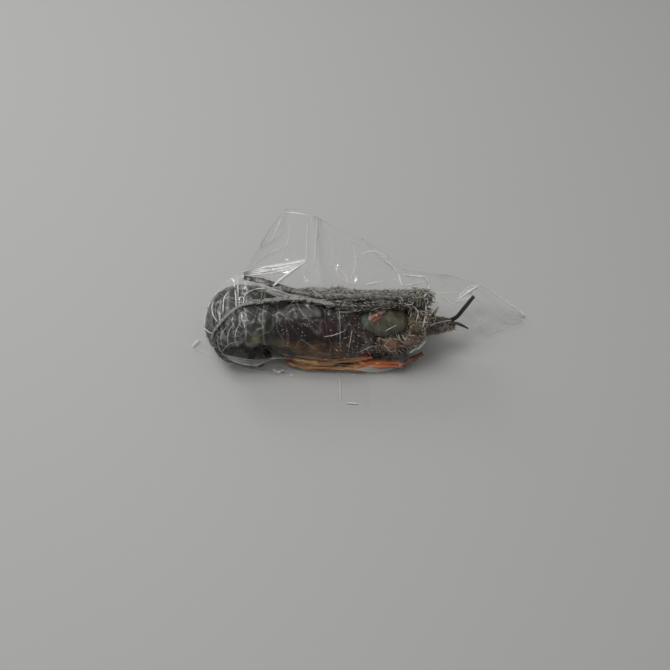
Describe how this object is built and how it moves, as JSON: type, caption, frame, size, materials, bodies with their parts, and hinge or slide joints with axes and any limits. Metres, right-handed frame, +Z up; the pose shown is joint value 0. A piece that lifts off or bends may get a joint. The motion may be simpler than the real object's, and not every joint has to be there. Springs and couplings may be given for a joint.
{
  "type": "frozen spiny lobster in a clear pouch",
  "caption": "Whole frozen spiny lobster, tail curled under and antennae laid back, sealed in a clear film pouch whose loose end stands up behind.",
  "frame": {"origin": "on the surface that the pouch lies on, under the middle of the lobster's back shell", "axes": "+X towards the lobster's head, +Y to the side where the film's loose end stands up, +Z up"},
  "size_m": [0.2842, 0.1282, 0.1008],
  "materials": {
    "film": "clear glossy plastic film, creased",
    "shell": "dark maroon-brown shell, wet and frozen",
    "tail_shell": "grey-brown banded shell under frost",
    "leg_shell": "orange and yellow striped shell",
    "antenna_shell": "rough ringed horn, frosted",
    "frost": "white frost and ice crumbs",
    "eye": "black, glossy"
  },
  "bodies": {
    "root": {"lobster_pouch": "film"}
  },
  "joints": []
}
